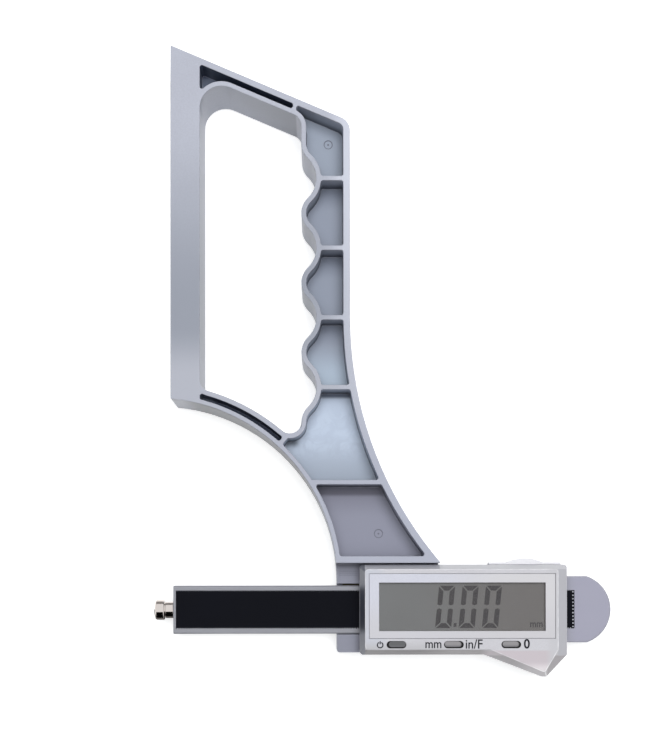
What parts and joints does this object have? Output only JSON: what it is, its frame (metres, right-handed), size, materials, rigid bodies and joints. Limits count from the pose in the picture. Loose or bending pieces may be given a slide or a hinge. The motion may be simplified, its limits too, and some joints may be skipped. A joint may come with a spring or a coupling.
{
  "type": "digital depth gauge",
  "caption": "Digital depth gauge: a slide beam with a contact point in a plastic guide, a D handle with a long reference face, and a display module with push buttons and a battery drawer.",
  "frame": {"origin": "middle of the outline seen from the front, on the plane of the gauge's back", "axes": "+X to the right along the slide beam, away from the contact point; +Y up the handle; +Z out of the display"},
  "size_m": [0.1515, 0.2054, 0.0243],
  "materials": {
    "handle_plastic": "moulded, fine satin",
    "beam_plastic": "moulded, satin",
    "case_plastic": "satin",
    "silver_plastic": "silver, satin",
    "strip_black": "gloss",
    "lens_clear": "clear",
    "display_grey": "display grey",
    "holder_white": "white",
    "seal_rubber": "matte",
    "button_rubber": "matte",
    "board_green": "solder resist",
    "chip_black": "resin",
    "link_black": "matte",
    "point_steel": "polished",
    "plain_steel": "plated",
    "spring_brass": "plain"
  },
  "bodies": {
    "frame": {"handle_frame": "handle_plastic", "gib_leaf": "spring_brass", "rear_shell": "case_plastic", "front_shell": "silver_plastic", "bezel_plate": "silver_plastic", "window_lens": "lens_clear", "lcd_glass": "display_grey", "lcd_holder": "holder_white", "zebra_strips": "seal_rubber", "main_board": "board_green", "board_parts": "chip_black", "sensor_board": "board_green", "board_link": "link_black", "tact_switches": "plain_steel", "button_seals": "seal_rubber", "case_gasket": "seal_rubber", "battery_contacts": "spring_brass", "base_screws": "plain_steel", "case_screws": "plain_steel", "board_screws": "plain_steel"},
    "slide_beam": {"beam": "beam_plastic", "scale_strip": "strip_black", "nose_bush": "point_steel", "contact_point": "point_steel"},
    "power_key": {"power_button": "button_rubber", "power_plunger": "link_black"},
    "unit_key": {"unit_button": "button_rubber", "unit_plunger": "link_black"},
    "zero_key": {"zero_button": "button_rubber", "zero_plunger": "link_black"},
    "battery_drawer": {"battery_tray": "silver_plastic", "battery_seal": "seal_rubber", "coin_cell": "plain_steel"}
  },
  "joints": [
    {"name": "beam_slide", "type": "slide", "parent": "frame", "child": "slide_beam", "axis": [1, 0, 0], "range_m": [-0.004, 0.052]},
    {"name": "power_press", "type": "slide", "parent": "frame", "child": "power_key", "axis": [0, 0, -1], "range_m": [0, 0.0005], "stiffness_N_per_m": 1500},
    {"name": "unit_press", "type": "slide", "parent": "frame", "child": "unit_key", "axis": [0, 0, -1], "range_m": [0, 0.0005], "stiffness_N_per_m": 1500},
    {"name": "zero_press", "type": "slide", "parent": "frame", "child": "zero_key", "axis": [0, 0, -1], "range_m": [0, 0.0005], "stiffness_N_per_m": 1500},
    {"name": "battery_slide", "type": "slide", "parent": "frame", "child": "battery_drawer", "axis": [0, 1, 0], "range_m": [0, 0.024]}
  ]
}
